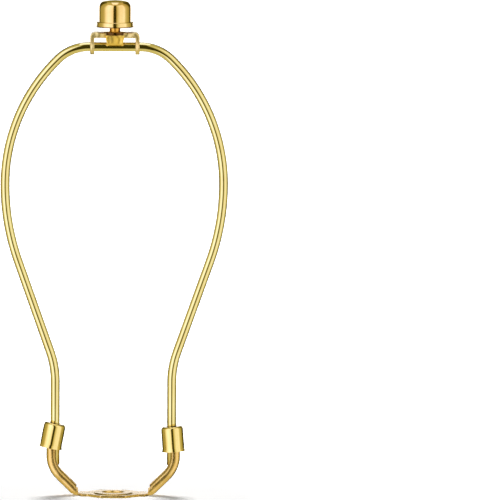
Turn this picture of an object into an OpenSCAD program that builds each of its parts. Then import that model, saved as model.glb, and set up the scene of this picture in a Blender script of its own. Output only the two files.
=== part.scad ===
// Lamp harp: a wire bow that stands in a stamped saddle, is locked there by
// two sliding ferrules, and carries a tilting stud and a finial on its top.
// Frame: the origin is the centre of the saddle's hole at its underside,
// +Z is up along the bow and the bow lies in the XZ plane.

/* [Bow] */
// Height from the saddle's underside to the top of the wire
harp_h = 228.6; // [222:0.1:262]
// Diameter of the wire
wire_d = 4.6; // [4.2:0.1:4.7]
// Greatest width of the bow, outside the wire
bow_w = 114.3; // [106:0.1:122]
// Length of the straight wire at the top
top_straight = 26; // [25.2:0.1:30]
// Radius of the wire's centre line at the two shoulders
shoulder_r = 22; // [18:0.5:26]
// Where the bow is widest, as a share of the height from its knees to its shoulders
widest_share = 0.679; // [0.62:0.001:0.74]
// Length of the straight wire that slants in from each side to its knee
side_len = 48.4; // [40:0.1:55]
// Radius of the knees, where the sides turn down into the legs
knee_r = 45; // [35:0.5:55]
// Height at which the straight legs end and the knees begin
knee_z = 57.5; // [56:0.5:62]
// Distance between the centre lines of the legs
leg_gap = 58.6; // [56:0.1:62]
// Chamfer at the ends of the legs
leg_chamfer = 0.7; // [0.6:0.05:1]
// Gap between the ends of the legs and the channel's floor under them
leg_floor_gap = 0.15; // [0.1:0.05:0.2]

/* [Saddle] */
// Thickness of the saddle's sheet
sheet_t = 1.2; // [1:0.05:1.3]
// Width of the middle plate, from arm to arm
plate_w = 25.7; // [24:0.1:28]
// Depth of the middle plate, front to back
plate_d = 26.4; // [24:0.1:30]
// Length of each straight edge at the plate's front and back
plate_edge = 12.7; // [10:0.1:16]
// Width of the flat strip that joins the plate to the arms
strip_w = 12.7; // [10:0.1:14]
// Length over which the strip narrows to each arm's channel
strip_taper = 1.8; // [1:0.1:3]
// Radius of the hole for the lamp's nipple
hole_r = 5.56; // [5.2:0.01:6.4]
// Radius of the raised pad round the hole
pad_r = 9.6; // [8.6:0.1:10.5]
// Height that the pad is raised
pad_rise = 0.4; // [0.3:0.1:1]
// Angle of the arms above the table
arm_slope = 44.5; // [41:0.5:47]
// Outer radius where each arm turns up to its leg
arm_turn_r = 16; // [15.5:0.5:18]
// Outer radius where each arm leaves the flat strip
arm_bend_r = 5.5; // [5.2:0.1:7]
// Height at which the upright end of each arm begins
arm_up_z = 20; // [19.5:0.1:21]
// Height of the arms' tips, inside the ferrules
arm_tip_z = 31.5; // [29:0.1:31.8]
// Depth of the arms' channel, outside
channel_d = 4; // [3.7:0.1:4.6]
// Outer corner radius of the channel
channel_r = 2.6; // [1.9:0.1:2.9]
// Rounding of the channel's walls where they start
channel_end_r = 1.8; // [0.5:0.1:2.5]
// Clearance between a leg and each side wall of its channel
channel_gap = 0.25; // [0.1:0.05:0.35]
// Clearance between a leg and the floor of its channel
floor_gap = 0.8; // [0.75:0.05:1]

/* [Ferrules] */
// Outer radius of the ferrules
ferrule_r = 5.5; // [5.2:0.05:5.6]
// Length of the ferrules
ferrule_len = 12.6; // [11.5:0.1:13.5]
// Thickness of the ferrules' drawn wall
ferrule_t = 0.5; // [0.4:0.05:0.5]
// Radius of the ferrules' rounded shoulder
ferrule_round = 1.3; // [0.8:0.1:1.6]
// How far the lip at the lower end flares out
lip_flare = 0.35; // [0.1:0.05:0.6]
// Height of the flared lip
lip_h = 1.6; // [1:0.1:3]
// Radial play of the ferrules' top hole round the wire
ferrule_play = 0.55; // [0.5:0.05:0.8]
// Height of the left ferrule's top
left_top_z = 36.3; // [35.2:0.1:37]
// Lean of the left ferrule
left_lean = 11; // [0:0.1:11]
// How far the left ferrule's top sits in from its leg
left_shift = 0.1; // [0:0.05:0.3]
// Height of the right ferrule's top
right_top_z = 34.9; // [34.5:0.1:36]
// Lean of the right ferrule
right_lean = 4.3; // [0:0.1:8]
// How far the right ferrule's top sits out from its leg
right_shift = 0.15; // [0:0.05:0.35]

/* [Swivel bracket] */
// Width of the bracket over its two ears
bracket_w = 24.8; // [20:0.1:25]
// Thickness of the bracket's strip
bracket_t = 2.8; // [2.4:0.1:3.2]
// Thickness of its ears, which are pressed thinner
ear_t = 2.1; // [1.6:0.05:2.3]
// Depth of the bracket's strip, and width of its round ears
bracket_d = 7.8; // [7.2:0.1:9]
// Outer radius of the bracket's two bends
bracket_bend = 2.5; // [2.4:0.1:3.2]
// Rounding of the strip's two long upper edges
bracket_edge_r = 0.8; // [0.4:0.1:1]
// Gap between the top of the wire and the underside of the strip
bracket_rise = 2.4; // [2:0.1:3.5]
// How deep the stud's flange is let into the strip
flange_seat = 1.35; // [1:0.05:1.6]
// Radial clearance of the ears and of the cradle on the wire
swivel_gap = 0.08; // [0.02:0.01:0.1]

/* [Stud and cradle] */
// Radius of the stud's thread
thread_r = 3.05; // [2.95:0.05:3.3]
// Radius of the plain neck below the thread
neck_r = 2.75; // [2.4:0.05:2.9]
// Height of the plain neck
neck_h = 2.6; // [2:0.1:4]
// Length of the thread
thread_len = 8.6; // [7:0.1:8.9]
// Radius of the stud's flange
flange_r = 5.7; // [5:0.05:6.5]
// Thickness of the stud's flange
flange_t = 1.45; // [1:0.05:1.8]
// Radius of the spigot that rivets the stud into the cradle
spigot_r = 2.4; // [2:0.1:2.9]
// Length of the spigot below the flange
spigot_len = 3.2; // [2.6:0.1:3.6]
// Width of the cradle at its top
cradle_w = 9.9; // [9:0.1:12]
// Depth of the cradle at its top, front to back
cradle_d = 11; // [10.8:0.1:12.6]
// How much narrower the cradle is at its foot than at its top
cradle_taper = 1.6; // [0:0.1:2]
// Radius of the cradle's upright edges
cradle_edge_r = 1.4; // [1:0.1:3]
// Radius of the cradle's lower edges
cradle_foot_r = 1.3; // [0.6:0.1:1.6]
// How far the cradle reaches down past the top of the wire
cradle_grip = 1.25; // [0.6:0.05:1.8]
// Clearance between fixed pieces that fit into each other
seat_gap = 0.04; // [0.02:0.01:0.06]

/* [Finial] */
// Height of the finial
finial_h = 13.5; // [12.9:0.1:16]
// Radius of the finial's body
finial_r = 8.2; // [7.8:0.05:9]
// Radius of the finial's shoulder
finial_round = 4.3; // [3:0.1:5]
// Radius of the finial's gently domed top
finial_crown = 26; // [20:1:60]
// Radius of the finial's rim
rim_r = 9.35; // [9.1:0.05:11]
// Height of the finial's rim
rim_h = 2.7; // [2.4:0.1:3]
// Rounding of the rim's edges
rim_round = 0.55; // [0.45:0.05:0.6]
// How much wider the rim is at its foot
rim_flare = 0.2; // [0:0.05:0.4]
// Thickness of the cap's drawn sheet
cap_t = 0.5; // [0.3:0.05:0.6]
// Outer radius of the nut's hub inside the cap
hub_r = 4.6; // [4.2:0.1:6]
// Height of the nut's hub above its disc
hub_h = 6; // [4:0.1:7]
// Gap between the stud's flange and the finial, where a shade sits
shade_gap = 2.4; // [1:0.05:3]
// Radial clearance of the nut's bore on the thread
thread_gap = 0.07; // [0.03:0.01:0.1]

/* [Hidden] */
$fn = 96;
past = 1;              // how far a cutting shape runs past what it cuts
lap = 0.3;             // how far a bend's end is buried in the stretch that it joins
knit = 0.01;           // how much slimmer a bend is than that stretch
mouth_taper = 0.4;     // chamfer at the mouth of the finial's nut and at the stud's tip

// The bow's centre line: arcs and straights that meet tangentially
wire_r = wire_d / 2;
top_z = harp_h - wire_r;
half_w = bow_w / 2 - wire_r;
half_leg = leg_gap / 2;
shoulder_x = top_straight / 2;
shoulder_z = top_z - shoulder_r;
widest_z = knee_z + widest_share * (shoulder_z - knee_z);

// Below the widest place: a side's arc, the slanting straight and the knee
knee_x = half_leg + knee_r;
side_h = widest_z - knee_z;
side_r = (pow(half_w - knee_x, 2) + pow(side_h, 2) - pow(knee_r, 2) - pow(side_len, 2))
    / (2 * (half_w - half_leg));
side_slant = atan2(side_h, knee_x - half_w + side_r) - atan2(side_len, side_r + knee_r);

// Above it: the bulb's arc up to the shoulder's
reach_x = half_w - shoulder_x;
reach_z = shoulder_z - widest_z;
bulb_r = (pow(reach_x, 2) + pow(reach_z, 2) - pow(shoulder_r, 2)) / (2 * (reach_x - shoulder_r));
bulb_turn = atan2(reach_z, shoulder_x - half_w + bulb_r);

// The saddle's channel, wrapped round the legs
arm_x = half_leg + wire_r + floor_gap + sheet_t;
channel_half = wire_r + channel_gap + sheet_t;
arm_turn = 90 - arm_slope;
turn_x = arm_x - arm_turn_r;
ramp_x = turn_x + arm_turn_r * sin(arm_slope);
ramp_z = arm_up_z - arm_turn_r * cos(arm_slope);
bend_lift = arm_bend_r * (1 - cos(arm_slope));
ramp_len = (ramp_z - bend_lift) / sin(arm_slope);
bend_x = ramp_x - ramp_len * cos(arm_slope) - arm_bend_r * sin(arm_slope);

// The legs stop just above the turn of their channel's floor
floor_r = arm_turn_r - sheet_t;
leg_edge_x = half_leg + wire_r - turn_x;
leg_end_z = arm_up_z - sqrt(pow(floor_r - leg_floor_gap, 2) - pow(leg_edge_x, 2)) - leg_chamfer;

// The swivel, from the wire upwards
strip_z = harp_h + bracket_rise;
bracket_z = strip_z + bracket_t;
seat_z = bracket_z - flange_seat;
flange_z = seat_z + flange_t;
finial_z = flange_z + shade_gap;
nut_z = finial_z + cap_t + seat_gap;
nut_t = rim_h - 2 * (cap_t + seat_gap);

// A stretch of wire bent to radius r about [x, z], from one angle to another
module arc_rod(x, z, r, from, to) {
    translate([x, 0, z]) rotate([90, 0, 0]) rotate([0, 0, from])
        rotate_extrude(angle = to - from) translate([r, 0]) circle(r = wire_r);
}

// The same, slimmer by a hair and with both ends buried in the stretches it joins
module knit_rod(x, z, r, from, to) {
    turn = lap / r * 180 / PI;
    translate([x, 0, z]) rotate([90, 0, 0]) rotate([0, 0, from - turn])
        rotate_extrude(angle = to - from + 2 * turn)
            translate([r, 0]) circle(r = wire_r - knit);
}

module half_bow() {
    knit_rod(shoulder_x, shoulder_z, shoulder_r, bulb_turn, 90);
    arc_rod(half_w - bulb_r, widest_z, bulb_r, 0, bulb_turn);
    knit_rod(half_w - side_r, widest_z, side_r, -side_slant, 0);
    translate([knee_x - knee_r * cos(side_slant), 0, knee_z + knee_r * sin(side_slant)])
        rotate([0, side_slant, 0]) cylinder(r = wire_r, h = side_len);
    knit_rod(knee_x, knee_z, knee_r, 180 - side_slant, 180);
    translate([half_leg, 0, leg_end_z]) rotate_extrude()
        polygon([[0, 0], [wire_r - leg_chamfer, 0], [wire_r, leg_chamfer],
                 [wire_r, knee_z - leg_end_z], [0, knee_z - leg_end_z]]);
}

module bow() {
    color("#e8cf7a") {
        wire_axis_rod(wire_r, top_straight);
        half_bow();
        mirror([1, 0, 0]) half_bow();
    }
}

// A solid U section: x runs in from the outer face, y across the channel
module channel_fill(half, depth, r) {
    translate([0, r - half]) square([depth, 2 * (half - r)]);
    translate([r, -half]) square([depth - r, 2 * half]);
    for (side = [-1, 1]) translate([r, side * (half - r)]) circle(r = r);
}

// The channel's sheet, set in by a hair on every face where slim is more than 0
module channel_section(slim = 0) {
    difference() {
        translate([slim, 0])
            channel_fill(channel_half - slim, channel_d - 2 * slim, channel_r - slim);
        translate([sheet_t - slim, 0])
            channel_fill(channel_half - sheet_t + slim, channel_d, channel_r - sheet_t + slim);
    }
}

// A bend of the channel about [x, z], its ends buried like the bow's
module channel_bend(x, z, r, from, to) {
    turn = lap / r * 180 / PI;
    translate([x, 0, z]) rotate([90, 0, 0]) rotate([0, 0, from - turn])
        rotate_extrude(angle = to - from + 2 * turn)
            translate([r, 0]) mirror([1, 0]) channel_section(knit);
}

// The corner to cut off the channel's walls where they rise from the strip
module wall_start() {
    translate([bend_x - lap, 0, channel_d]) rotate([90, 0, 0])
        linear_extrude(2 * channel_half + 2 * past, center = true)
            difference() {
                translate([-past, -channel_end_r])
                    square([channel_end_r + past, channel_end_r + past]);
                translate([channel_end_r, -channel_end_r]) circle(r = channel_end_r);
            }
}

module arm() {
    translate([arm_x, 0, arm_tip_z]) rotate([0, 180, 0])
        linear_extrude(arm_tip_z - arm_up_z) channel_section();
    channel_bend(turn_x, arm_up_z, arm_turn_r, -arm_turn, 0);
    translate([ramp_x, 0, ramp_z]) rotate([0, 180 + arm_turn, 0])
        linear_extrude(ramp_len) channel_section();
    difference() {
        channel_bend(bend_x, arm_bend_r, arm_bend_r, -90, arm_slope - 90);
        wall_start();
    }
}

module saddle_outline() {
    neck = channel_half - channel_r / 2;
    taper_x = bend_x - strip_taper;
    corner_y = strip_w / 2;
    polygon([[-plate_w / 2, -corner_y], [-plate_edge / 2, -plate_d / 2],
             [plate_edge / 2, -plate_d / 2], [plate_w / 2, -corner_y],
             [plate_w / 2, corner_y], [plate_edge / 2, plate_d / 2],
             [-plate_edge / 2, plate_d / 2], [-plate_w / 2, corner_y]]);
    polygon([[-bend_x, -neck], [-taper_x, -corner_y], [taper_x, -corner_y], [bend_x, -neck],
             [bend_x, neck], [taper_x, corner_y], [-taper_x, corner_y], [-bend_x, neck]]);
}

module saddle() {
    color("#d9ae56") {
        difference() {
            union() {
                linear_extrude(sheet_t) saddle_outline();
                cylinder(r1 = pad_r + pad_rise + sheet_t, r2 = pad_r, h = sheet_t + pad_rise);
            }
            translate([0, 0, -past]) {
                cylinder(r = hole_r, h = sheet_t + pad_rise + 2 * past);
                cylinder(r1 = pad_r + past, r2 = pad_r - pad_rise, h = pad_rise + past);
            }
        }
        arm();
        mirror([1, 0, 0]) arm();
    }
}

// A plug with a rounded shoulder, as a half section from y = 0 up
module plug_section(r, h, round) {
    square([r, h - round]);
    square([r - round, h]);
    intersection() {
        translate([r - round, h - round]) circle(r = round);
        square([r, h]);
    }
}

module ferrule() {
    bore_r = ferrule_r - ferrule_t;
    color("#efd782") rotate_extrude() difference() {
        union() {
            plug_section(ferrule_r, ferrule_len, ferrule_round);
            polygon([[0, 0], [ferrule_r + lip_flare, 0], [ferrule_r, lip_h], [0, lip_h]]);
        }
        plug_section(bore_r, ferrule_len - ferrule_t, ferrule_round - ferrule_t);
        polygon([[0, -past], [bore_r + lip_flare, -past], [bore_r + lip_flare, 0],
                 [bore_r, lip_h], [0, lip_h]]);
        square([wire_r + ferrule_play, ferrule_len + past]);
    }
}

module ferrule_left() {
    translate([left_shift - half_leg, 0, left_top_z]) rotate([0, left_lean, 0])
        translate([0, 0, -ferrule_len]) ferrule();
}

module ferrule_right() {
    translate([half_leg + right_shift, 0, right_top_z]) rotate([0, -right_lean, 0])
        translate([0, 0, -ferrule_len]) ferrule();
}

// A rod along X through the wire's axis
module wire_axis_rod(r, length) {
    translate([0, 0, top_z]) rotate([0, 90, 0]) cylinder(r = r, h = length, center = true);
}

// An upright block with round top corners, as a front or side view
module bridge(half, top, r, foot) {
    translate([-half, foot]) square([2 * half, top - r - foot]);
    translate([r - half, foot]) square([2 * (half - r), top - foot]);
    for (side = [-1, 1]) translate([side * (half - r), top - r]) circle(r = r);
}

module bracket() {
    half = bracket_w / 2;
    ear_r = bracket_d / 2;
    ear_z = top_z - ear_r;
    color("#e0c069") difference() {
        intersection() {
            rotate([90, 0, 0]) linear_extrude(bracket_d, center = true) difference() {
                bridge(half, bracket_z, bracket_bend, ear_z);
                bridge(half - ear_t, strip_z, bracket_bend - ear_t, ear_z - past);
            }
            rotate([90, 0, 90]) linear_extrude(bracket_w + past, center = true) {
                translate([0, top_z]) circle(r = ear_r);
                bridge(ear_r, bracket_z, bracket_edge_r, top_z);
            }
        }
        wire_axis_rod(wire_r + swivel_gap, bracket_w + 2 * past);
        translate([0, 0, seat_z]) cylinder(r = flange_r + seat_gap, h = flange_seat + past);
        translate([0, 0, strip_z - past])
            cylinder(r = spigot_r + seat_gap, h = bracket_t + 2 * past);
    }
}

// A side view of the cradle: it narrows to a foot with round lower edges
module cradle_profile(width) {
    top = width / 2;
    foot = top - cradle_taper / 2;
    foot_z = harp_h - cradle_grip;
    polygon([[-top, seat_z], [-foot, foot_z + cradle_foot_r], [cradle_foot_r - foot, foot_z],
             [foot - cradle_foot_r, foot_z], [foot, foot_z + cradle_foot_r], [top, seat_z]]);
    for (side = [-1, 1]) translate([side * (foot - cradle_foot_r), foot_z + cradle_foot_r])
        circle(r = cradle_foot_r);
}

module cradle_plan() {
    for (turn = [0, 1]) square([cradle_w - 2 * cradle_edge_r * turn,
                                cradle_d - 2 * cradle_edge_r * (1 - turn)], center = true);
    for (x = [-1, 1], y = [-1, 1])
        translate([x * (cradle_w / 2 - cradle_edge_r), y * (cradle_d / 2 - cradle_edge_r)])
            circle(r = cradle_edge_r);
}

module cradle() {
    foot_z = harp_h - cradle_grip;
    slot_half = bracket_d / 2 + seat_gap;
    color("#e3b84e") difference() {
        intersection() {
            rotate([90, 0, 0]) linear_extrude(cradle_d + past, center = true)
                cradle_profile(cradle_w);
            rotate([90, 0, 90]) linear_extrude(cradle_w + past, center = true)
                cradle_profile(cradle_d);
            translate([0, 0, foot_z]) linear_extrude(seat_z - foot_z) cradle_plan();
        }
        wire_axis_rod(wire_r + swivel_gap, cradle_w + 2 * past);
        translate([-cradle_w / 2 - past, -slot_half, strip_z - seat_gap])
            cube([cradle_w + 2 * past, 2 * slot_half, bracket_t + seat_gap]);
        translate([0, 0, foot_z]) cylinder(r = spigot_r + seat_gap, h = seat_z - foot_z);
    }
}

module stud() {
    thread_z = flange_z + neck_h;
    tip_z = thread_z + thread_len;
    color("#dcae4a") rotate_extrude()
        polygon([[0, seat_z - spigot_len], [spigot_r, seat_z - spigot_len], [spigot_r, seat_z],
                 [flange_r, seat_z], [flange_r, flange_z], [neck_r, flange_z], [neck_r, thread_z],
                 [thread_r, thread_z], [thread_r, tip_z - mouth_taper],
                 [thread_r - mouth_taper, tip_z], [0, tip_z]]);
}

// The outline that the cap is drawn to, set in by a wall's thickness
module cap_section(inset) {
    intersection() {
        plug_section(finial_r - inset, finial_h - inset, finial_round - inset);
        translate([0, finial_h - finial_crown]) circle(r = finial_crown - inset, $fn = 2 * $fn);
    }
    rim_in = rim_r - inset;
    rim_top = rim_h - inset;
    plug_section(rim_in, rim_top, rim_round - inset / 2);
    polygon([[0, 0], [rim_in + rim_flare, 0], [rim_in, rim_top - rim_round], [0, rim_top - rim_round]]);
}

module finial_cap() {
    curl_r = rim_r - 3 * cap_t;
    color("#f0cd6c") translate([0, 0, finial_z]) rotate_extrude() difference() {
        cap_section(0);
        intersection() {
            cap_section(cap_t);
            translate([0, cap_t]) square([2 * rim_r, finial_h]);
        }
        translate([0, -past]) square([curl_r, cap_t + 2 * past]);
    }
}

module finial_nut() {
    bore = thread_r + thread_gap;
    disc_r = rim_r - cap_t - seat_gap;
    color("#d8b25a") translate([0, 0, nut_z]) difference() {
        union() {
            rotate_extrude() plug_section(disc_r, nut_t, rim_round - cap_t / 2);
            cylinder(r = hub_r, h = nut_t + hub_h);
        }
        translate([0, 0, -past]) cylinder(r = bore, h = nut_t + hub_h + 2 * past);
        cylinder(r1 = bore + mouth_taper, r2 = bore, h = mouth_taper);
    }
}

saddle();
bow();
ferrule_left();
ferrule_right();
bracket();
cradle();
stud();
finial_cap();
finial_nut();
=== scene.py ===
import math

import bpy
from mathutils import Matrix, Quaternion, Vector


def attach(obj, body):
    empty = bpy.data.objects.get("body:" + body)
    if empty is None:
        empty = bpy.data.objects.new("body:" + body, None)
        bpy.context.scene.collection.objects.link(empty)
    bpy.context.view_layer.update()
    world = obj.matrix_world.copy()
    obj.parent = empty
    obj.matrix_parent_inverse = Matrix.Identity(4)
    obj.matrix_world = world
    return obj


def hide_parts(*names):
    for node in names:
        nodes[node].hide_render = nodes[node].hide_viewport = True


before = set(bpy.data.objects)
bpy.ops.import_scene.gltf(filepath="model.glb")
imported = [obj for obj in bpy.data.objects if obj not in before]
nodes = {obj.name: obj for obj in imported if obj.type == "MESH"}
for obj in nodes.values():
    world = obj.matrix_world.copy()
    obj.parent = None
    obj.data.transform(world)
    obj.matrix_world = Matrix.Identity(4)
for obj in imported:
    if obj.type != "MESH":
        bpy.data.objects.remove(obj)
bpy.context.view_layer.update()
mm = 0.001
print("lamp harp: frame loaded,", len(nodes), "CAD nodes")


def toLinear(code):
    # sRGB hex to the linear colour that Blender works in
    parts = [int(code[i:i + 2], 16) / 255 for i in (1, 3, 5)]
    return [c / 12.92 if c <= 0.04045 else ((c + 0.055) / 1.055) ** 2.4 for c in parts] + [1]


def addNode(tree, kind, settings=None, links=None):
    # one node with its settings; links holds a value or another node's socket for each input
    node = tree.nodes.new(kind)
    for name, value in (settings or {}).items():
        setattr(node, name, value)
    for name, value in (links or {}).items():
        if isinstance(value, bpy.types.NodeSocket):
            tree.links.new(value, node.inputs[name])
        else:
            node.inputs[name].default_value = value
    return node


def addObject(name, data):
    obj = bpy.data.objects.new(name, data)
    bpy.context.scene.collection.objects.link(obj)
    return obj


def newTree(name, inputs):
    # a Geometry Nodes tree with a geometry input and named sizes
    tree = bpy.data.node_groups.new(name, "GeometryNodeTree")
    tree.interface.new_socket("Geometry", in_out="INPUT", socket_type="NodeSocketGeometry")
    for label, kind in inputs.items():
        tree.interface.new_socket(label, in_out="INPUT", socket_type="NodeSocket" + kind)
    tree.interface.new_socket("Geometry", in_out="OUTPUT", socket_type="NodeSocketGeometry")
    return tree, addNode(tree, "NodeGroupInput"), addNode(tree, "NodeGroupOutput")


def bakeTree(obj, tree, sizes, name):
    # runs the tree on the object with these sizes and keeps the result as a plain mesh
    modifier = obj.modifiers.new("build", "NODES")
    modifier.node_group = tree
    for item in tree.interface.items_tree:
        if item.in_out == "INPUT" and item.name in sizes:
            modifier[item.identifier] = sizes[item.name]
    bpy.context.view_layer.update()
    depsgraph = bpy.context.evaluated_depsgraph_get()
    mesh = bpy.data.meshes.new_from_object(obj.evaluated_get(depsgraph), depsgraph=depsgraph)
    obj.modifiers.remove(modifier)
    bpy.data.objects.remove(obj)
    return addObject(name, mesh)


def polyline(name, points, radii):
    # an open curve through these points, with a thickness factor at each
    curve = bpy.data.curves.new(name, "CURVE")
    curve.dimensions = "3D"
    spline = curve.splines.new("POLY")
    spline.points.add(len(points) - 1)
    for place, point, radius in zip(spline.points, points, radii):
        place.co = (*point, 1)
        place.radius = radius
    return addObject(name, curve)


def arc(x, z, radius, start, end, steps):
    # points on an arc in the XZ plane, in degrees from +X
    turns = [math.radians(start + (end - start) * i / steps) for i in range(steps + 1)]
    return [(x + radius * math.cos(t), 0, z + radius * math.sin(t)) for t in turns]


def latheMesh(name, profile, sides):
    # turns a profile of (radius, height) about the Z axis; the profile runs upwards on the outside
    verts, faces, rings = [], [], []
    for radius, height in profile:
        if radius == 0:
            rings.append([len(verts)] * sides)
            verts.append((0, 0, height))
        else:
            rings.append(list(range(len(verts), len(verts) + sides)))
            verts += [(radius * math.cos(2 * math.pi * i / sides),
                       radius * math.sin(2 * math.pi * i / sides), height) for i in range(sides)]
    for low, high in zip(rings, rings[1:]):
        for i in range(sides):
            j = (i + 1) % sides
            face = list(dict.fromkeys((low[i], low[j], high[j], high[i])))
            if len(face) > 2:
                faces.append(face)
    mesh = bpy.data.meshes.new(name)
    mesh.from_pydata(verts, [], faces)
    mesh.shade_smooth()
    return mesh


# what all the brass has in common: the part of each noise that shows as toned patches and as
# smudges, the gloss of the lacquer, and how finely a rounded edge is worked out
brass = {"patchNoise": (0.35, 0.7), "smudgeNoise": (0.12, 0.42), "lacquerRoughness": 0.04,
         "edgeSamples": 8}


def brassFinish(name, looks):
    # Brass plating over steel, or plain brass: a gold mirror that blurs in smudges, with darker
    # tone in patches, fine lines of its making, slow waves and a thin clear lacquer
    material = bpy.data.materials.new(name)
    material.use_nodes = True
    tree = material.node_tree
    tree.nodes.clear()
    if looks.get("attribute"):
        alongPiece = addNode(tree, "ShaderNodeAttribute", {"attribute_name": looks["attribute"]})
        place = alongPiece.outputs["Vector"]
    else:
        place = addNode(tree, "ShaderNodeTexCoord").outputs["Object"]
    patches = addNode(tree, "ShaderNodeTexNoise", {"noise_dimensions": "3D"}, {
        "Vector": place, "Scale": 1 / (looks["patchMm"] * mm), "Detail": 3, "Roughness": 0.55})
    patchLow, patchHigh = brass["patchNoise"]
    toned = addNode(tree, "ShaderNodeMapRange", {}, {
        "Value": patches.outputs["Fac"], "From Min": patchLow, "From Max": patchHigh})
    colour = addNode(tree, "ShaderNodeMix", {"data_type": "RGBA"}, {
        "Factor": toned.outputs["Result"], 6: toLinear(looks["colour"]), 7: toLinear(looks["shade"])})
    if looks.get("paintedShadeBand"):
        # painted shade: the colour between these heights is darkened to brown, in place of the shade and
        # dark reflection that fall in a narrow gap there
        height = addNode(tree, "ShaderNodeSeparateXYZ", {}, {"Vector": place}).outputs["Z"]
        low, high = [z * mm for z in looks["paintedShadeBand"]]
        shadeMask = addNode(tree, "ShaderNodeMath", {"operation": "COMPARE"}, {
            0: height, 1: (low + high) / 2, 2: (high - low) / 2}).outputs["Value"]
        colour = addNode(tree, "ShaderNodeMix", {"data_type": "RGBA"}, {
            "Factor": shadeMask, 6: colour.outputs[2], 7: toLinear(looks["paintedShadeColour"])})
    stretch = addNode(tree, "ShaderNodeVectorMath", {"operation": "MULTIPLY"}, {
        0: place, 1: looks["lineStretch"]}).outputs["Vector"]
    lines = addNode(tree, "ShaderNodeTexNoise", {"noise_dimensions": "3D"}, {
        "Vector": stretch, "Scale": 1 / (looks["lineMm"] * mm), "Detail": 2, "Roughness": 0.6})
    smudges = addNode(tree, "ShaderNodeTexNoise", {"noise_dimensions": "3D"}, {
        "Vector": place, "Scale": 1 / (looks["smudgeMm"] * mm), "Detail": 4, "Roughness": 0.6})
    mixed = addNode(tree, "ShaderNodeMath", {"operation": "MULTIPLY"}, {
        0: lines.outputs["Fac"], 1: smudges.outputs["Fac"]}).outputs["Value"]
    smudgeLow, smudgeHigh = brass["smudgeNoise"]
    blur = addNode(tree, "ShaderNodeMapRange", {}, {
        "Value": mixed, "From Min": smudgeLow, "From Max": smudgeHigh,
        "To Min": looks["roughness"][0], "To Max": looks["roughness"][1]}).outputs["Result"]
    relief = addNode(tree, "ShaderNodeBump", {}, {
        "Height": lines.outputs["Fac"], "Strength": looks["relief"], "Distance": looks["lineMm"] * mm})
    if looks.get("edgeMm"):
        # edges that the tumbling barrel or the press has rounded
        worn = addNode(tree, "ShaderNodeBevel", {"samples": brass["edgeSamples"]}, {
            "Radius": looks["edgeMm"] * mm})
        tree.links.new(worn.outputs["Normal"], relief.inputs["Normal"])
    waves = addNode(tree, "ShaderNodeTexNoise", {"noise_dimensions": "3D"}, {
        "Vector": place, "Scale": 1 / (looks["waveMm"] * mm), "Detail": 0})
    ripple = addNode(tree, "ShaderNodeBump", {}, {
        "Height": waves.outputs["Fac"], "Strength": looks["waves"], "Distance": looks["waveMm"] * mm,
        "Normal": relief.outputs["Normal"]})
    shader = addNode(tree, "ShaderNodeBsdfPrincipled", {}, {
        "Base Color": colour.outputs[2], "Metallic": 1.0, "Roughness": blur,
        "Normal": ripple.outputs["Normal"], "Coat Weight": looks["lacquer"],
        "Coat Roughness": brass["lacquerRoughness"]})
    addNode(tree, "ShaderNodeOutputMaterial", {}, {"Surface": shader.outputs["BSDF"]})
    return material


def dress(obj, material):
    obj.data.materials.clear()
    obj.data.materials.append(material)


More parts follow.
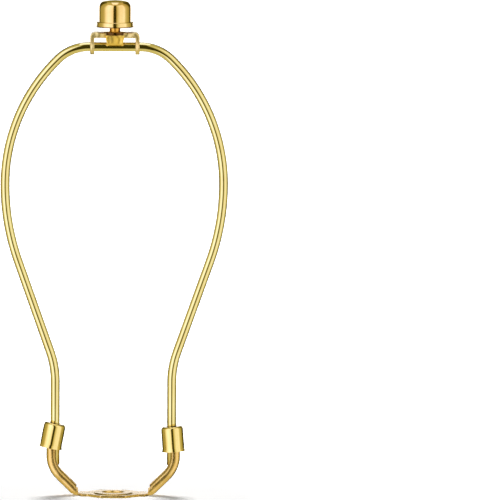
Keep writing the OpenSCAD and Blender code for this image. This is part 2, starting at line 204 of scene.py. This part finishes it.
# The lines of drawing, shearing and turning are finer than this on the real pieces. They are drawn
# coarser here, so that they show in a close view.
finishes = {
    # drawn steel wire, polished and brass-plated: a pale gold mirror, with a little grain along it
    "wirePlating": {"colour": "#eee5b4", "shade": "#e6d79e", "roughness": (0.06, 0.11), "patchMm": 18,
                    "smudgeMm": 3, "lineMm": 0.25, "lineStretch": (1, 1, 0.03), "relief": 0.02,
                    "waveMm": 6, "waves": 0.006, "attribute": "wireSpace", "lacquer": 0.6},
    # stamped steel strip, tumbled and brass-plated: satin, warmer than the wire, its flats a little
    # wavy and its edges soft
    "saddlePlating": {"colour": "#f2d599", "shade": "#e8c27d", "roughness": (0.22, 0.32), "patchMm": 9,
                      "smudgeMm": 3.5, "lineMm": 0.3, "lineStretch": (1, 1, 1), "relief": 0.008,
                      "waveMm": 6, "waves": 0.1, "lacquer": 0.4, "edgeMm": 1.1},
    # deep-drawn steel sleeves, polished and plated: a clean mirror, with faint lines along the draw
    "ferrulePlating": {"colour": "#f5e2a6", "shade": "#eed592", "roughness": (0.07, 0.12), "patchMm": 10,
                       "smudgeMm": 2.5, "lineMm": 0.2, "lineStretch": (1, 1, 0.04), "relief": 0.015,
                       "waveMm": 6, "waves": 0.006, "lacquer": 0.6},
    # sheared steel strip, bent, tumbled and plated: satin, its flats wavy and its edges soft
    "bracketPlating": {"colour": "#f4e3b2", "shade": "#ebcf97", "roughness": (0.28, 0.4), "patchMm": 6,
                       "smudgeMm": 3, "lineMm": 0.2, "lineStretch": (0.05, 1, 1), "relief": 0.03,
                       "waveMm": 4.5, "waves": 0.4, "lacquer": 0.4, "edgeMm": 1.1},
    # solid brass block, tumbled: a deeper yellow satin
    "cradleBrass": {"colour": "#ffe184", "shade": "#f8cf62", "roughness": (0.28, 0.4), "patchMm": 4,
                    "smudgeMm": 2.5, "lineMm": 0.25, "lineStretch": (1, 1, 1), "relief": 0.02,
                    "waveMm": 4.5, "waves": 0.4, "lacquer": 0.4, "edgeMm": 1.4},
    # brass turned on a lathe: bright, with fine rings round the axis, and painted shade on its flange: a
    # dark brown band for the shade and dark reflection under the finial
    "studBrass": {"colour": "#fce8b4", "shade": "#f4d898", "roughness": (0.08, 0.15), "patchMm": 4,
                  "smudgeMm": 1.2, "lineMm": 0.12, "lineStretch": (0.03, 0.03, 1), "relief": 0.015,
                  "waveMm": 3, "waves": 0.01, "lacquer": 0.3,
                  "paintedShadeBand": (232.4, 233.75), "paintedShadeColour": "#5a3a10"},
    # drawn sheet cap, spun to a mirror and plated: warm gold, with a painted shade line, dark brown, low on
    # its rim, for the dark gap under the rim's edge
    "finialPlating": {"colour": "#f3dca6", "shade": "#edc98e", "roughness": (0.08, 0.13), "patchMm": 10,
                      "smudgeMm": 2.5, "lineMm": 0.15, "lineStretch": (0.04, 0.04, 1), "relief": 0.012,
                      "waveMm": 8, "waves": 0.006, "lacquer": 0.6,
                      "paintedShadeBand": (236.2, 236.75), "paintedShadeColour": "#7a5424"},
    # turned brass left as it came off the lathe: duller, with clearer rings
    "nutBrass": {"colour": "#efca80", "shade": "#dfb564", "roughness": (0.16, 0.26), "patchMm": 4,
                 "smudgeMm": 1.2, "lineMm": 0.12, "lineStretch": (0.03, 0.03, 1), "relief": 0.05,
                 "waveMm": 3, "waves": 0.01, "lacquer": 0.2},
}
metals = {name: brassFinish(name, looks) for name, looks in finishes.items()}
print("finishes:", ", ".join(metals))

for nodeName, finish in {"saddle": "saddlePlating", "ferrule_left": "ferrulePlating",
                         "ferrule_right": "ferrulePlating", "bracket": "bracketPlating",
                         "cradle": "cradleBrass", "finial_cap": "finialPlating",
                         "finial_nut": "nutBrass"}.items():
    dress(nodes[nodeName], metals[finish])

# the bow: one wire swept along tangent arcs; arcSteps are for its shoulder, bulb, side and knee
bowSizes = {"height": 228.6, "width": 114.3, "wireRadius": 2.3, "topStraight": 26, "shoulderRadius": 22,
            "widestShare": 0.679, "sideLength": 48.4, "kneeRadius": 45, "kneeHeight": 57.5, "legGap": 58.6,
            "legEnd": 14.98, "endChamfer": 0.7, "sides": 40, "arcSteps": (20, 32, 18, 14)}


def bowPath(s):
    # from one leg's end to the other's; the radii of the bulb and the sides follow from the rest
    topZ = s["height"] - s["wireRadius"]
    halfWidth = s["width"] / 2 - s["wireRadius"]
    halfLeg = s["legGap"] / 2
    shoulderX, shoulderZ = s["topStraight"] / 2, topZ - s["shoulderRadius"]
    widestZ = s["kneeHeight"] + s["widestShare"] * (shoulderZ - s["kneeHeight"])
    kneeX = halfLeg + s["kneeRadius"]
    rise = widestZ - s["kneeHeight"]
    sideRadius = ((halfWidth - kneeX) ** 2 + rise ** 2 - s["kneeRadius"] ** 2 - s["sideLength"] ** 2) \
        / (2 * (halfWidth - halfLeg))
    slant = math.degrees(math.atan2(rise, kneeX - halfWidth + sideRadius)
                         - math.atan2(s["sideLength"], sideRadius + s["kneeRadius"]))
    reachX, reachZ = halfWidth - shoulderX, shoulderZ - widestZ
    bulbRadius = (reachX ** 2 + reachZ ** 2 - s["shoulderRadius"] ** 2) \
        / (2 * (reachX - s["shoulderRadius"]))
    bulbTurn = math.degrees(math.atan2(reachZ, shoulderX - halfWidth + bulbRadius))
    shoulderSteps, bulbSteps, sideSteps, kneeSteps = s["arcSteps"]
    half = arc(shoulderX, shoulderZ, s["shoulderRadius"], 90, bulbTurn, shoulderSteps)
    half += arc(halfWidth - bulbRadius, widestZ, bulbRadius, bulbTurn, 0, bulbSteps)[1:]
    half += arc(halfWidth - sideRadius, widestZ, sideRadius, 0, -slant, sideSteps)[1:]
    half += arc(kneeX, s["kneeHeight"], s["kneeRadius"], 180 - slant, 180, kneeSteps)
    half += [(halfLeg, 0, s["legEnd"] + s["endChamfer"]), (halfLeg, 0, s["legEnd"])]
    whole = [(-x, y, z) for x, y, z in reversed(half)] + half
    ends = 1 - s["endChamfer"] / s["wireRadius"]
    return [tuple(c * mm for c in p) for p in whole], [ends] + [1] * (len(whole) - 2) + [ends]


def sweptWireTree():
    # a round wire along the curve; wireSpace runs across the wire in X and Y and along it in Z
    tree, given, result = newTree("sweptWire", {
        "Wire Radius": "Float", "Sides": "Int", "Material": "Material"})
    path = addNode(tree, "GeometryNodeCaptureAttribute", {"domain": "POINT"}, {
        "Geometry": given.outputs["Geometry"]})
    path.capture_items.new("FLOAT", "Along")
    tree.links.new(addNode(tree, "GeometryNodeSplineParameter").outputs["Length"], path.inputs["Along"])
    ring = addNode(tree, "GeometryNodeCurvePrimitiveCircle", {}, {
        "Resolution": given.outputs["Sides"], "Radius": given.outputs["Wire Radius"]})
    profile = addNode(tree, "GeometryNodeCaptureAttribute", {"domain": "POINT"}, {
        "Geometry": ring.outputs["Curve"]})
    profile.capture_items.new("VECTOR", "Round")
    tree.links.new(addNode(tree, "GeometryNodeInputPosition").outputs["Position"], profile.inputs["Round"])
    swept = addNode(tree, "GeometryNodeCurveToMesh", {}, {
        "Curve": path.outputs["Geometry"], "Profile Curve": profile.outputs["Geometry"], "Fill Caps": True,
        "Scale": addNode(tree, "GeometryNodeInputRadius").outputs["Radius"]})
    roundXyz = addNode(tree, "ShaderNodeSeparateXYZ", {}, {"Vector": profile.outputs["Round"]})
    wireSpace = addNode(tree, "ShaderNodeCombineXYZ", {}, {
        "X": roundXyz.outputs["X"], "Y": roundXyz.outputs["Y"], "Z": path.outputs["Along"]})
    stored = addNode(tree, "GeometryNodeStoreNamedAttribute", {
        "data_type": "FLOAT_VECTOR", "domain": "POINT"}, {
        "Geometry": swept.outputs["Mesh"], "Name": "wireSpace", "Value": wireSpace.outputs["Vector"]})
    smooth = addNode(tree, "GeometryNodeSetShadeSmooth", {}, {"Geometry": stored.outputs["Geometry"]})
    real = addNode(tree, "GeometryNodeRealizeInstances", {}, {"Geometry": smooth.outputs["Geometry"]})
    painted = addNode(tree, "GeometryNodeSetMaterial", {}, {
        "Geometry": real.outputs["Geometry"], "Material": given.outputs["Material"]})
    tree.links.new(painted.outputs["Geometry"], result.inputs["Geometry"])
    return tree


pathPoints, pathRadii = bowPath(bowSizes)
bowWire = bakeTree(polyline("bowPath", pathPoints, pathRadii), sweptWireTree(), {
    "Wire Radius": bowSizes["wireRadius"] * mm, "Sides": bowSizes["sides"],
    "Material": metals["wirePlating"]}, "bow_wire")
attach(bowWire, "bow")
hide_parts("bow")
print("bow:", len(bowWire.data.polygons), "faces")

# the stud: turned flange and neck, with a rolled 1/4-27 thread that stops short of both its ends
studSizes = {"bottom": 229.25, "flangeFoot": 232.45, "flangeTop": 233.9, "threadStart": 236.5,
             "top": 245.1, "spigotRadius": 2.4, "flangeRadius": 5.7, "neckRadius": 2.75,
             "threadRadius": 3.05, "pitch": 25.4 / 27, "threadDepth": 0.42, "footShare": 0.43,
             "threadLead": 0.5, "threadTail": 0.6, "edge": 0.25, "edgeSteps": 4, "neckFillet": 0.2,
             "tipInset": 0.4, "tipHeight": 0.5, "sides": 64, "threadSteps": 48}


def rolledThreadTree():
    # a ridge that winds up a screw, joined to the core that its foot is buried in
    tree, given, result = newTree("rolledThread", {
        "Outer Radius": "Float", "Pitch": "Float", "Depth": "Float", "Foot Share": "Float",
        "Turns": "Float", "Steps": "Int", "Start": "Float", "Material": "Material"})
    root = addNode(tree, "ShaderNodeMath", {"operation": "SUBTRACT"}, {
        0: given.outputs["Outer Radius"], 1: given.outputs["Depth"]}).outputs["Value"]
    height = addNode(tree, "ShaderNodeMath", {"operation": "MULTIPLY"}, {
        0: given.outputs["Pitch"], 1: given.outputs["Turns"]}).outputs["Value"]
    helix = addNode(tree, "GeometryNodeCurveSpiral", {}, {
        "Resolution": given.outputs["Steps"], "Rotations": given.outputs["Turns"],
        "Start Radius": root, "End Radius": root, "Height": height})
    start = addNode(tree, "ShaderNodeCombineXYZ", {}, {"Z": given.outputs["Start"]})
    lifted = addNode(tree, "GeometryNodeTransform", {}, {
        "Geometry": helix.outputs["Curve"], "Translation": start.outputs["Vector"]})
    upright = addNode(tree, "GeometryNodeSetCurveNormal", {"mode": "Z_UP"}, {
        "Curve": lifted.outputs["Geometry"]})
    flank = addNode(tree, "ShaderNodeMath", {"operation": "MULTIPLY"}, {
        0: given.outputs["Pitch"], 1: given.outputs["Foot Share"]}).outputs["Value"]
    acrossRoot = addNode(tree, "ShaderNodeMath", {"operation": "ADD"}, {
        0: given.outputs["Depth"], 1: given.outputs["Depth"]}).outputs["Value"]
    ridge = addNode(tree, "GeometryNodeCurvePrimitiveQuadrilateral", {"mode": "KITE"}, {
        "Width": acrossRoot, "Bottom Height": flank, "Top Height": flank})
    swept = addNode(tree, "GeometryNodeCurveToMesh", {}, {
        "Curve": upright.outputs["Curve"], "Profile Curve": ridge.outputs["Curve"], "Fill Caps": True})
    joined = addNode(tree, "GeometryNodeJoinGeometry")
    tree.links.new(swept.outputs["Mesh"], joined.inputs["Geometry"])
    tree.links.new(given.outputs["Geometry"], joined.inputs["Geometry"])
    real = addNode(tree, "GeometryNodeRealizeInstances", {}, {"Geometry": joined.outputs["Geometry"]})
    painted = addNode(tree, "GeometryNodeSetMaterial", {}, {
        "Geometry": real.outputs["Geometry"], "Material": given.outputs["Material"]})
    tree.links.new(painted.outputs["Geometry"], result.inputs["Geometry"])
    return tree


def studProfile(s):
    # half the stud's outline from its spigot up, with the thread's core in place of the thread
    core = s["threadRadius"] - s["threadDepth"]
    edge, steps = s["edge"], s["edgeSteps"]
    flange = arc(s["flangeRadius"] - edge, s["flangeFoot"] + edge, edge, -90, 0, steps)
    flange += arc(s["flangeRadius"] - edge, s["flangeTop"] - edge, edge, 0, 90, steps)
    points = [(0, s["bottom"]), (s["spigotRadius"], s["bottom"]), (s["spigotRadius"], s["flangeFoot"])]
    points += [(x, z) for x, _, z in flange]
    points += [(s["neckRadius"] + s["neckFillet"], s["flangeTop"]),
               (s["neckRadius"], s["flangeTop"] + s["neckFillet"]),
               (s["neckRadius"], s["threadStart"] - s["neckFillet"]), (core, s["threadStart"]),
               (core, s["top"] - s["tipHeight"]), (core - s["tipInset"], s["top"]), (0, s["top"])]
    return [(r * mm, z * mm) for r, z in points]


studCore = addObject("studCore", latheMesh("studCore", studProfile(studSizes), studSizes["sides"]))
plainEnds = studSizes["threadLead"] + studSizes["threadTail"]
turns = (studSizes["top"] - studSizes["threadStart"] - plainEnds) / studSizes["pitch"]
stud = bakeTree(studCore, rolledThreadTree(), {
    "Outer Radius": studSizes["threadRadius"] * mm, "Pitch": studSizes["pitch"] * mm,
    "Depth": studSizes["threadDepth"] * mm, "Foot Share": studSizes["footShare"], "Turns": turns,
    "Steps": studSizes["threadSteps"], "Start": (studSizes["threadStart"] + studSizes["threadLead"]) * mm,
    "Material": metals["studBrass"]}, "stud_threaded")
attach(stud, "bracket")
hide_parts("stud")
print("stud:", round(turns, 1), "turns of thread")

# the floor and the air round it: white where the camera or a mirror sees them
studio = {"floorSize": 40, "floorColour": "#f2f2f2", "floorFill": 0.19, "shadowReach": 0.2 / 3,
          "whiteFrom": 0.2, "skyStrength": 0.13}


def stageMesh(name, verts, faces, material):
    mesh = bpy.data.meshes.new(name)
    mesh.from_pydata(verts, [], faces)
    mesh.materials.append(material)
    obj = addObject(name, mesh)
    return obj


def stageMaterial(name):
    material = bpy.data.materials.new(name)
    material.use_nodes = True
    material.node_tree.nodes.clear()
    return material, material.node_tree


def seenDirectly(tree):
    # 1 for rays from the camera, from a mirror or through glass
    rays = addNode(tree, "ShaderNodeLightPath")
    seen = addNode(tree, "ShaderNodeMath", {"operation": "MAXIMUM"}, {
        0: rays.outputs["Is Camera Ray"], 1: rays.outputs["Is Glossy Ray"]})
    return addNode(tree, "ShaderNodeMath", {"operation": "MAXIMUM"}, {
        0: seen.outputs["Value"], 1: rays.outputs["Is Transmission Ray"]}).outputs["Value"]


def floorMaterial():
    # white paper: it keeps the shadow near the harp, and is lifted to plain white further out
    material, tree = stageMaterial("paperFloor")
    distance = addNode(tree, "ShaderNodeVectorMath", {"operation": "LENGTH"}, {
        0: addNode(tree, "ShaderNodeTexCoord").outputs["Object"]}).outputs["Value"]
    lift = addNode(tree, "ShaderNodeMapRange", {}, {
        "Value": distance, "From Min": studio["shadowReach"], "From Max": studio["whiteFrom"],
        "To Min": studio["floorFill"], "To Max": 1.0}).outputs["Result"]
    fill = addNode(tree, "ShaderNodeMath", {"operation": "MULTIPLY"}, {0: seenDirectly(tree), 1: lift})
    paper = addNode(tree, "ShaderNodeBsdfDiffuse", {}, {"Color": toLinear(studio["floorColour"])})
    glow = addNode(tree, "ShaderNodeEmission", {}, {"Strength": fill.outputs["Value"]})
    both = addNode(tree, "ShaderNodeAddShader", {}, {0: paper.outputs["BSDF"], 1: glow.outputs["Emission"]})
    addNode(tree, "ShaderNodeOutputMaterial", {}, {"Surface": both.outputs["Shader"]})
    return material


half = studio["floorSize"] / 2
floor = stageMesh("floor", [(-half, -half, 0), (half, -half, 0), (half, half, 0), (-half, half, 0)],
                  [(0, 1, 2, 3)], floorMaterial())
floor.visible_glossy = False  # the metal sees the tent's own pale ground instead

world = bpy.data.worlds.new("studioAir")
bpy.context.scene.world = world
world.use_nodes = True
air = world.node_tree
air.nodes.clear()
airLight = addNode(air, "ShaderNodeMapRange", {}, {
    "Value": seenDirectly(air), "To Min": studio["skyStrength"], "To Max": 1.0})
airGlow = addNode(air, "ShaderNodeBackground", {}, {"Strength": airLight.outputs["Result"]})
addNode(air, "ShaderNodeOutputWorld", {}, {"Surface": airGlow.outputs["Background"]})

# The tent is a drum of cloth round the set, seen only in the metal. Its wall's brightness goes by
# the angle round it, in degrees: 0 is the slit for the camera, and angles grow to the camera's right.
tent = {"radius": 2.0, "bottom": -1.5, "top": 2.9, "sides": 120, "ceiling": 0.6, "ground": 0.75,
        "warm": "#ffea4c", "cool": "#fbfaff", "brightest": 1.5, "warmPower": 1.4}
tentWall = {-180: 0.3, -158: 0.06, -130: 0.05, -123: 0.35, -112: 0.48, -100: 0.5,
            -84: 0.62, -66: 1.2, -45: 1.45, -22: 1.25, -13: 1.1, -9.5: 0.06, 8: 0.04, 10: 0.45, 20: 0.85,
            36: 1.15, 55: 1.15, 68: 1.25, 84: 0.7, 105: 0.5, 116: 0.4, 123: 0.08, 152: 0.05, 180: 0.3}
# Cloths hung inside it: the middle of the ceiling is bright, and so is a low strip at the back. The
# dark wall above that strip draws the outline of every dome.
overheadCloth = {"x": 0.6, "y": (-1.0, 1.9), "z": 2.85, "brightness": 1.4}
backCloth = {"angle": 40, "z": (0.05, 0.42), "radius": 1.96, "steps": 20, "brightness": 1.4}


def plainCloth(name, brightness):
    # cloth of one brightness: warm where the tent is dim, and paler the brighter it is
    material, tree = stageMaterial(name)
    paleness = (brightness / tent["brightest"]) ** tent["warmPower"]
    tone = [w + (c - w) * paleness for w, c in zip(toLinear(tent["warm"]), toLinear(tent["cool"]))]
    glow = addNode(tree, "ShaderNodeEmission", {}, {"Color": tone, "Strength": brightness})
    addNode(tree, "ShaderNodeOutputMaterial", {}, {"Surface": glow.outputs["Emission"]})
    return material


def wallCloth(name, brightness):
    # the same cloth with its brightness read from a table by the angle round the tent
    material, tree = stageMaterial(name)
    place = addNode(tree, "ShaderNodeSeparateXYZ", {}, {
        "Vector": addNode(tree, "ShaderNodeTexCoord").outputs["Object"]})
    front = addNode(tree, "ShaderNodeMath", {"operation": "MULTIPLY"}, {0: place.outputs["Y"], 1: -1.0})
    angle = addNode(tree, "ShaderNodeMath", {"operation": "ARCTAN2"}, {
        0: place.outputs["X"], 1: front.outputs["Value"]})
    turn = addNode(tree, "ShaderNodeMapRange", {}, {
        "Value": angle.outputs["Value"], "From Min": -math.pi, "From Max": math.pi})
    table = addNode(tree, "ShaderNodeValToRGB", {}, {"Fac": turn.outputs["Result"]})
    stops = table.color_ramp.elements
    while len(stops) > 1:
        stops.remove(stops[-1])
    for i, (degrees, value) in enumerate(sorted(brightness.items())):
        stop = stops[0] if i == 0 else stops.new((degrees + 180) / 360)
        stop.position = (degrees + 180) / 360
        stop.color = [value / tent["brightest"]] * 3 + [1]
    share = table.outputs["Color"]
    strength = addNode(tree, "ShaderNodeMath", {"operation": "MULTIPLY"}, {0: share, 1: tent["brightest"]})
    paleness = addNode(tree, "ShaderNodeMath", {"operation": "POWER"}, {0: share, 1: tent["warmPower"]})
    tone = addNode(tree, "ShaderNodeMix", {"data_type": "RGBA"}, {
        "Factor": paleness.outputs["Value"], 6: toLinear(tent["warm"]), 7: toLinear(tent["cool"])})
    glow = addNode(tree, "ShaderNodeEmission", {}, {
        "Color": tone.outputs[2], "Strength": strength.outputs["Value"]})
    addNode(tree, "ShaderNodeOutputMaterial", {}, {"Surface": glow.outputs["Emission"]})
    return material


sides = tent["sides"]
rimTurns = [2 * math.pi * i / sides for i in range(sides)]
rim = [(tent["radius"] * math.sin(t), -tent["radius"] * math.cos(t)) for t in rimTurns]
lowRim = [(x, y, tent["bottom"]) for x, y in rim]
highRim = [(x, y, tent["top"]) for x, y in rim]
wallFaces = [(i, (i + 1) % sides, (i + 1) % sides + sides, i + sides) for i in range(sides)]
wholeRim = [tuple(range(sides))]
overheadVerts = [(x, y, overheadCloth["z"]) for y in overheadCloth["y"]
                 for x in (-overheadCloth["x"], overheadCloth["x"])]
steps = backCloth["steps"]
backTurns = [math.radians(backCloth["angle"] * (2 * i / steps - 1)) for i in range(steps + 1)]
backVerts = [(backCloth["radius"] * math.sin(t), backCloth["radius"] * math.cos(t), z)
             for z in backCloth["z"] for t in backTurns]
backFaces = [(i, i + 1, i + steps + 2, i + steps + 1) for i in range(steps)]
tentParts = {"tentWall": (lowRim + highRim, wallFaces, tentWall),
             "tentCeiling": (highRim, wholeRim, tent["ceiling"]),
             "overheadCloth": (overheadVerts, [(0, 1, 3, 2)], overheadCloth["brightness"]),
             "backCloth": (backVerts, backFaces, backCloth["brightness"]),
             "tentGround": (lowRim, wholeRim, tent["ground"])}
for name, (verts, faces, brightness) in tentParts.items():
    makeCloth = wallCloth if brightness is tentWall else plainCloth
    hung = stageMesh(name, verts, faces, makeCloth(name, brightness))
    hung.visible_camera = hung.visible_diffuse = hung.visible_shadow = False
    hung.visible_transmission = hung.visible_volume_scatter = False

# the lamps cast the harp's shadow on the floor; the metal shows the cloths and not the lamps
lamps = {"overhead": {"place": (0, 1.5, 2.6), "aim": (0, 0, 0), "size": 1.3, "power": 84},
         "frontLeft": {"place": (-1.8, -2.2, 1.6), "aim": (0, 0, 0.1), "size": 1.2, "power": 3},
         "frontRight": {"place": (1.8, -2.2, 1.6), "aim": (0, 0, 0.1), "size": 1.2, "power": 3}}
for name, lamp in lamps.items():
    light = bpy.data.lights.new(name, "AREA")
    light.shape = "SQUARE"
    light.size = lamp["size"]
    light.energy = lamp["power"]
    stand = addObject(name, light)
    stand.location = lamp["place"]
    stand.rotation_euler = (Vector(lamp["aim"]) - Vector(lamp["place"])).to_track_quat("-Z", "Y").to_euler()
    stand.visible_glossy = False
print("studio: floor, tent and", len(lamps), "lamps")

# the camera: a long lens, a little above the saddle
view = {"distance": 6.0, "elevation": 5.6, "lens": 860, "aimX": 0.06805, "aimZ": 0.1242, "roll": 0.3,
        "clipEnd": 60}
camera = addObject("camera", bpy.data.cameras.new("camera"))
bpy.context.scene.camera = camera
camera.data.lens = view["lens"]
camera.data.clip_end = view["clipEnd"]
tilt = math.radians(view["elevation"])
camera.location = (0, -view["distance"] * math.cos(tilt), view["aimZ"] + view["distance"] * math.sin(tilt))
aim = (Vector((view["aimX"], 0, view["aimZ"])) - camera.location).to_track_quat("-Z", "Y")
camera.rotation_euler = (aim @ Quaternion((0, 0, 1), math.radians(view["roll"]))).to_euler()
bpy.context.scene.view_settings.view_transform = "Standard"
